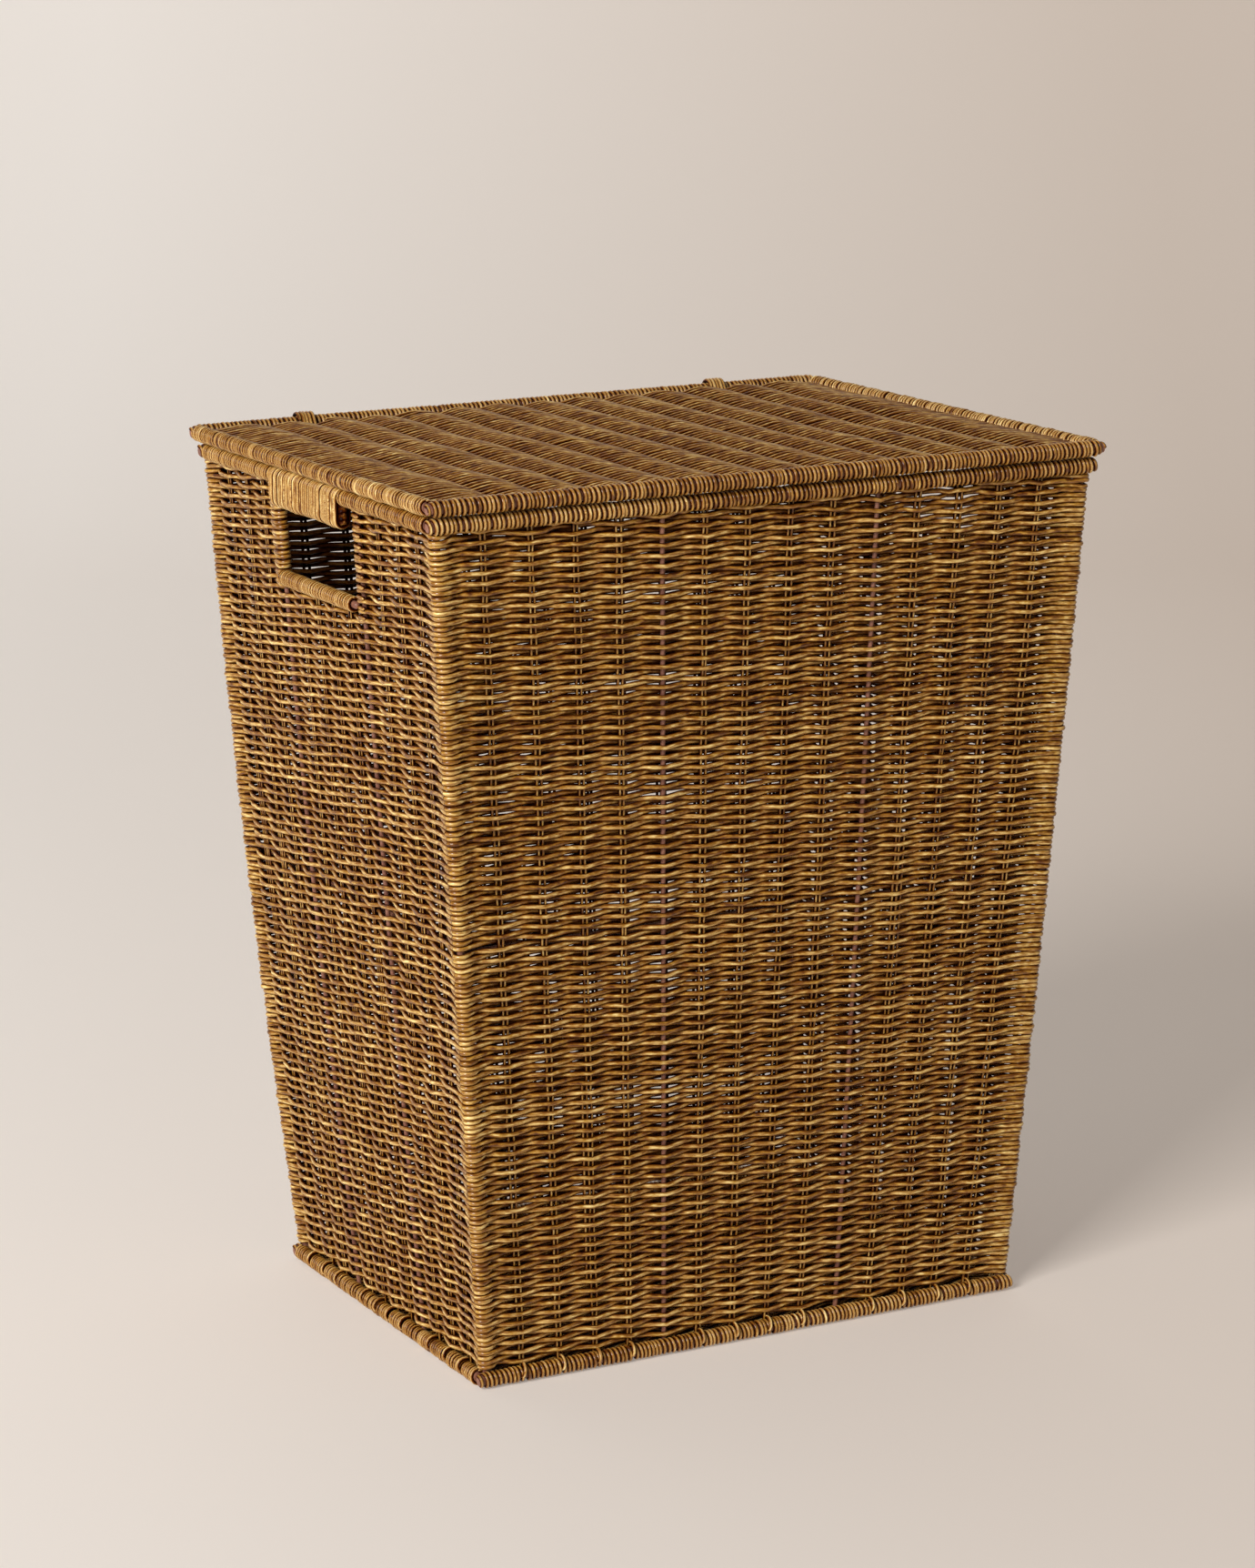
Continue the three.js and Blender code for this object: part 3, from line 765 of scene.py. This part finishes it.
def rattan_material(name, pale, middle, dark, rough):
    """Stained rattan: each strand has its own tone, with blotches and fine fibres along its length, with
    painted shade in its crevices and paler crowns that are painted highlight and partly wear.
    """
    look = Shading(name)
    tone, painted_light = look.attribute("tone"), look.attribute("painted_light")

    # Each strand's own place in the noise, so that no two look alike.
    apart = look.math("MULTIPLY", tone, 7.3)
    place = look.vector("ADD", look.attribute("grain", "Vector"), look.combine(apart, apart, 0.0))
    blotch = look.noise(place, 190, 5, stretch=(1, 2.5, 2.5))
    fibre = look.noise(place, 1050, 3, stretch=(0.12, 1, 1))

    # The strand's own tone runs from dark to pale; blotches pull it either way, and a painted highlight,
    # partly wear, makes its crowns paler.
    pull = look.math("MULTIPLY_ADD", blotch, 2.0, -0.7)
    mixed = look.math("MULTIPLY_ADD", tone, 0.48, pull)
    wear_and_painted_highlight = look.math("MULTIPLY_ADD", painted_light, 0.3, -0.27, clamp=True)
    paleness = look.math("ADD", mixed, wear_and_painted_highlight, clamp=True)
    bare = look.ramp(paleness, (0.0, dark), (1.0, pale), (0.45, middle))

    # Painted shade darkens the colour and the gloss in the crevices and on the strands' flanks, and it takes
    # away blue faster than green, and green faster than red.
    streak = look.rescale(fibre, (0.35, 0.65), (0.45, 1.45))
    painted_shade = look.rescale(painted_light, (0.0, 0.9), (0.02, 1.0), kind="SMOOTHSTEP")
    shade = look.math("MULTIPLY", streak, painted_shade)
    tinted_shade = look.combine(*(look.math("POWER", shade, depth) for depth in PAINTED_SHADE_TINT))

    bump = look.node("ShaderNodeBump")
    look.feed(bump.inputs["Strength"], 0.25)
    look.feed(bump.inputs["Distance"], 0.0002)
    look.feed(bump.inputs["Height"], fibre)
    look.shade(
        Base_Color=look.vector("MULTIPLY", bare, tinted_shade),
        Roughness=look.rescale(blotch, end=(rough - 0.1, rough + 0.12)),
        Specular_IOR_Level=look.math("MULTIPLY", painted_shade, 0.4),
        Coat_Weight=look.math("MULTIPLY", painted_shade, 0.5),
        Coat_Roughness=0.18,
        Normal=bump.outputs[0],
    )
    return look.material


def rod_material():
    """Brown-painted rod, a little uneven."""
    look = Shading("painted_rod")
    uneven = look.noise(look.node("ShaderNodeNewGeometry").outputs["Position"], 160, 4)
    look.shade(
        Base_Color=look.ramp(uneven, (0.3, (0.17, 0.060, 0.038)), (0.7, (0.36, 0.155, 0.095))),
        Roughness=0.42,
    )
    return look.material


LOOKS = {
    "rattan_weave": rattan_material(
        "rattan_weave",
        pale=(0.78, 0.52, 0.175),
        middle=(0.42, 0.196, 0.021),
        dark=(0.15, 0.048, 0.0045),
        rough=0.36,
    ),
    "rattan_wrap": rattan_material(
        "rattan_wrap",
        pale=(0.97, 0.715, 0.29),
        middle=(0.53, 0.27, 0.041),
        dark=(0.16, 0.056, 0.008),
        rough=0.34,
    ),
    "frame_rod": rod_material(),
}


# ---- Flat panels ---------------------------------------------------------------------------------------


def flat_weave(frame_size, sides, first_gap, inner_painted_light=WALL_INSIDE_PAINTED_LIGHT, brace_y=None, loops_x=None):
    """A flat panel in a frame: paired stakes from front to back, and weavers across them. A panel with
    hinge loops has a last weaver against the back pole, which is left out at the loops."""
    z, middle_y = frame_size["z"], frame_size.get("y", 0.0)
    half_w, half_d = frame_size["width"] / 2 - 2, frame_size["depth"] / 2
    strands = Strands(sides, inner_painted_light)
    undulation = Drift(230, 150)
    slack = Drift(60, 5)
    stakes_x = np.linspace(-half_w, half_w, FRONT_STAKES + 2)
    stakes_x[1:-1] += rng.normal(0, 0.7, FRONT_STAKES)
    for stake_x in stakes_x[1:-1]:
        for offset in (-PAIR_HALF_GAP, PAIR_HALF_GAP):
            y = np.linspace(-half_d, half_d, 30)
            x = stake_x + offset + 0.4 * slack(y, stake_x)
            points = np.column_stack([x, y + middle_y, z + 0.6 * undulation(x, y)])
            strands.add(points, UP, STAKE_R, rng.uniform(0.1, 0.8))

    # The points of a weaver, each by the stake before it and the part of the span to the next one.
    steps = np.arange(len(stakes_x) - 1)[:, None] + SPAN_STEPS
    span = np.concatenate([[0], steps.ravel()])
    before = np.minimum(span.astype(int), len(stakes_x) - 2)
    part = span - before
    x = stakes_x[before] + (stakes_x[before + 1] - stakes_x[before]) * part
    row, row_y = 0, -half_d + POLE_R + first_gap
    while row_y < half_d - POLE_R - first_gap + 1:
        at_stakes = (STAKE_R + WEAVER_R) * (-1.0) ** (np.arange(len(stakes_x)) + row)
        at_stakes[[0, -1]] = 0
        out = at_stakes[before] + (at_stakes[before + 1] - at_stakes[before]) * cross_over(part)
        hump = HUMP * (1 + 0.35 * undulation(x * 2, row_y * 2)) * arch(part)
        y = row_y - hump + 0.8 * undulation(x * 1.3, row_y + 900) + 0.13 * slack(x + 311 * row, row)
        height = z + out * (1 + 0.07 * slack(x, row)) + 0.6 * undulation(x, y)
        points = np.column_stack([x, y + middle_y, height])
        radius = PANEL_WEAVER_R * rng.uniform(0.95, 1.05)
        strands.add(points, UP, radius, 0.75 * tone_along(x - x[0]), out)
        row_y += ROW_PITCH * rng.uniform(0.95, 1.05)
        if brace_y is not None and row_y - ROW_PITCH < brace_y <= row_y:
            row_y += BRACE_ROOM
        row += 1

    if loops_x is not None:
        y = half_d - POLE_R - 1.0 - 0.6 * arch(part)
        points = np.column_stack([x, y + middle_y, z - out])
        clear = np.abs(np.abs(x) - loops_x) > LOOP["width"] / 2 + 2.5
        cuts = np.flatnonzero(np.diff(clear.astype(int))) + 1
        for piece in np.split(np.arange(len(x)), cuts):
            if clear[piece[0]]:
                strands.add(points[piece], UP, PANEL_WEAVER_R, rng.uniform(), -out[piece])
    return strands


# ---- Building the pieces -------------------------------------------------------------------------------


def put(strands, name, slot, body, nodes=()):
    """Makes the strands' mesh a piece that rides on a CAD body and stands in for CAD nodes."""
    piece = bpy.data.objects.new(name, strands.mesh(name))
    bpy.context.scene.collection.objects.link(piece)
    piece.data.materials.append(LOOKS[slot])
    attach(piece, body)
    if nodes:
        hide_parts(*nodes)


def build_walls():
    """The lowest band of weavers stands in for all four of the CAD's slabs."""
    for i, band in enumerate(weave_body(WEAVE_BANDS)):
        slabs = [f"wall_{side}" for side in SIDES] if i == 0 else []
        put(band, f"weave_band_{i + 1}", "rattan_weave", "basket", slabs)
    put(body_stakes(), "stakes", "rattan_weave", "basket")
    posts = [f"corner_post_{end}_{side}" for end in ("front", "back") for side in ("left", "right")]
    uprights = [f"upright_{side}_{i}" for side in SIDES for i in (1, 2)]
    put(body_rods(), "posts_and_uprights", "frame_rod", "basket", posts + uprights)


def build_base():
    """The base poles' wrappings, with the stakes' ends among their turns."""
    wrapping = Strands(7)
    wrap_frame(wrapping, BASE, tied=True, curl=0.35)
    base_ties(wrapping)
    put(wrapping, "base_wrapping", "rattan_wrap", "basket", [f"base_wrap_{side}" for side in SIDES])


def build_rim():
    """The rim poles' wrappings, which stop at the grips."""
    wrapping = Strands(7)
    beside_grips = [(-RIM["depth"], GRIP["from"]), (GRIP["to"], RIM["depth"])]
    wrap_frame(wrapping, RIM, side_breaks=beside_grips, curl=0.3)
    nodes = ["rim_wrap_front", "rim_wrap_back"]
    nodes += [f"rim_wrap_{side}_{end}" for side in ("left", "right") for end in ("front", "back")]
    put(wrapping, "rim_wrapping", "rattan_wrap", "basket", nodes)


def build_handles():
    """The grips, bound round the rim poles and a rod under each, and the wrapped sills."""
    wrapping, rods = Strands(7), Strands(16)
    for sign in (-1, 1):
        x = sign * RIM["width"] / 2
        grip_poles = (x, 0, GRIP["z"]), (x, 0, RIM["z"])
        oval_coil(wrapping, *grip_poles, (0, 1, 0), GRIP["from"], GRIP["to"], GRIP, paler=0.45)
        # Stake ends fill the grip between its two rods, and only their ends show; they are painted dark as
        # shade, with the darkest tone and the painted shade of the weave's inner face.
        for z in np.linspace(GRIP["z"], RIM["z"], 4):
            ends = [(x, y, z) for y in (GRIP["from"] + 1.5, GRIP["to"] - 1.5)]
            wrapping.add(ends, UP, GRIP["plug_r"], 0.0, out=-WEAVE_HALF)

        sill_x = sign * (corner_points(SILL["z"])[0, 1, 0] + SILL["proud"])
        ends = [(sill_x, y, SILL["z"]) for y in (SILL["from"], SILL["to"])]
        coil(wrapping, *ends, SILL["r"] - WRAP_R, WRAP_R, SILL["pitch"])
        rod_y = np.linspace(SILL["from"] - 3.5, SILL["to"] + 1, 8)
        rods.add([(sill_x, y, SILL["z"]) for y in rod_y], UP, SILL["core"], 0.5)
        rods.add([(x, y, GRIP["z"]) for y in (GRIP["from"] + 6, GRIP["to"] - 6)], UP, CORE_R, 0.5)
    for strands, name, slot, parts in (
        (wrapping, "handle_wrapping", "rattan_wrap", ("grip_wrap", "sill_wrap")),
        (rods, "handle_rods", "frame_rod", ("grip_rod", "sill_rod")),
    ):
        nodes = [f"{part}_{side}" for part in parts for side in ("left", "right")]
        put(strands, name, slot, "basket", nodes)


def build_hinge_loops():
    """The two loops that bind the lid's back pole to the rim's."""
    loops = Strands(7)
    poles = (0, RIM["depth"] / 2, RIM["z"]), (0, LID["y"] + LID["depth"] / 2, LID["z"])
    for sign in (-1, 1):
        start = sign * LOOP["x"] - LOOP["width"] / 2
        oval_coil(loops, *poles, (1, 0, 0), start, start + LOOP["width"], LOOP, rough=0.5)
    put(loops, "hinge_loops", "rattan_wrap", "basket", ["hinge_loop_left", "hinge_loop_right"])


def build_floor():
    """The floor panel, coarser because it is hardly seen."""
    put(flat_weave(BASE, sides=5, first_gap=2.0), "floor_weave", "rattan_weave", "basket", ["floor_panel"])


def build_lid():
    """The lid's wrapped frame and its panel."""
    wrapping = Strands(7)
    wrap_frame(wrapping, LID, curl=0.6)
    put(wrapping, "lid_wrapping", "rattan_wrap", "lid", [f"lid_wrap_{side}" for side in SIDES])
    panel = flat_weave(LID, 7, 3.4, LID_INSIDE_PAINTED_LIGHT, brace_y=BRACE_Y, loops_x=LOOP["x"])
    put(panel, "lid_weave", "rattan_weave", "lid", ["lid_panel"])


def paint_rods():
    """The CAD's own rods, which show at the poles' ends and under the weave."""
    for name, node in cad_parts.items():
        if "_rod_" in name or name == "lid_brace":
            node.data.materials.clear()
            node.data.materials.append(LOOKS["frame_rod"])


build_walls()
build_base()
build_rim()
build_handles()
build_hinge_loops()
build_floor()
build_lid()
paint_rods()


# ---- Stage, light and camera, in metres ----------------------------------------------------------------

STAGE_TURN = math.radians(27.4)  # the backdrop stands square to the camera
STAGE_HALF = 14.0
WALL_START, WALL_CURVE, WALL_TOP = 2.8, 1.2, 6.0
CURVE_STEPS = 12
STAGE_GLOW = 0.42  # the light that the backdrop gives off, which weakens the hamper's shadow


def stage_material():
    """Plain warm plaster with painted light: paler on the key light's side and darker away from it, and
    glowing a little to weaken the hamper's shadow.
    """
    look = Shading("backdrop")
    place = look.node("ShaderNodeTexCoord").outputs["Object"]
    rightward = (math.cos(STAGE_TURN), -math.sin(STAGE_TURN), 0)
    across = look.rescale(look.vector("DOT_PRODUCT", place, rightward, output="Value"), (-0.8, 0.8))
    colour = look.ramp(across, (0.0, (0.69, 0.65, 0.61)), (1.0, (0.54, 0.468, 0.408)))
    look.shade(Base_Color=colour, Emission_Color=colour, Emission_Strength=STAGE_GLOW, Roughness=0.9)
    return look.material


def build_sweep():
    """A wide floor that curves up into a wall well behind the hamper, square to the camera."""
    profile = [(-STAGE_HALF, 0.0), (WALL_START, 0.0)]
    for i in range(1, CURVE_STEPS + 1):
        angle = math.pi / 2 * i / CURVE_STEPS
        rise = WALL_CURVE - WALL_CURVE * math.cos(angle)
        profile.append((WALL_START + WALL_CURVE * math.sin(angle), rise))
    profile.append((WALL_START + WALL_CURVE, WALL_TOP))
    vertices = []
    for distance, height in profile:
        for across in (-STAGE_HALF, STAGE_HALF):
            x = across * math.cos(STAGE_TURN) + distance * math.sin(STAGE_TURN)
            y = -across * math.sin(STAGE_TURN) + distance * math.cos(STAGE_TURN)
            vertices.append((x, y, height))
    faces = [(2 * i, 2 * i + 1, 2 * i + 3, 2 * i + 2) for i in range(len(profile) - 1)]
    mesh = bpy.data.meshes.new("sweep")
    mesh.from_pydata(vertices, [], faces)
    mesh.shade_smooth()
    mesh.materials.append(stage_material())
    sweep = bpy.data.objects.new("sweep", mesh)
    bpy.context.scene.collection.objects.link(sweep)


def add_area_light(name, place, side, watts, colour):
    """A square lamp of the given side, aimed at the middle of the hamper."""
    light = bpy.data.lights.new(name, "AREA")
    light.shape = "RECTANGLE"
    light.size = light.size_y = side
    light.energy = watts
    light.color = colour
    lamp = bpy.data.objects.new(name, light)
    lamp.location = place
    aim = Vector((0, 0, 0.3)) - Vector(place)
    lamp.rotation_euler = aim.to_track_quat("-Z", "Y").to_euler()
    bpy.context.scene.collection.objects.link(lamp)


def build_world():
    """A faint even light from all round."""
    world = bpy.data.worlds.new("studio")
    bpy.context.scene.world = world
    world.use_nodes = True
    background = world.node_tree.nodes["Background"]
    background.inputs["Color"].default_value = (1.0, 0.99, 0.98, 1)
    background.inputs["Strength"].default_value = 0.12


def build_camera(place, yaw, pitch, roll, lens):
    """A camera turned in degrees: yaw from +Y towards +X, pitch up from level, and roll."""
    yaw, pitch, roll = (math.radians(angle) for angle in (yaw, pitch, roll))
    level = math.cos(pitch)
    ahead = Vector((math.sin(yaw) * level, math.cos(yaw) * level, math.sin(pitch)))
    right = ahead.cross(Vector((0, 0, 1))).normalized()
    up = right.cross(ahead)
    tilted_right = right * math.cos(roll) + up * math.sin(roll)
    tilted_up = up * math.cos(roll) - right * math.sin(roll)
    camera_data = bpy.data.cameras.new("camera")
    camera_data.lens = lens
    camera = bpy.data.objects.new("camera", camera_data)
    camera.location = place
    camera.rotation_mode = "QUATERNION"
    camera.rotation_quaternion = Matrix((tilted_right, tilted_up, -ahead)).transposed().to_quaternion()
    bpy.context.scene.collection.objects.link(camera)
    bpy.context.scene.camera = camera


build_sweep()
add_area_light("key", (-5.1, -3.0, 3.2), 2.8, 445, (1.0, 0.98, 0.96))
add_area_light("top", (-0.4, 0.4, 3.2), 2.0, 3, (1.0, 1.0, 1.0))
build_world()
camera_place = (-1.3919, -2.6657 - MIDDLE_Y * MM, 1.0397)
build_camera(camera_place, yaw=27.369, pitch=-12.826, roll=-0.613, lens=102.68)
bpy.context.scene.view_settings.view_transform = "Standard"
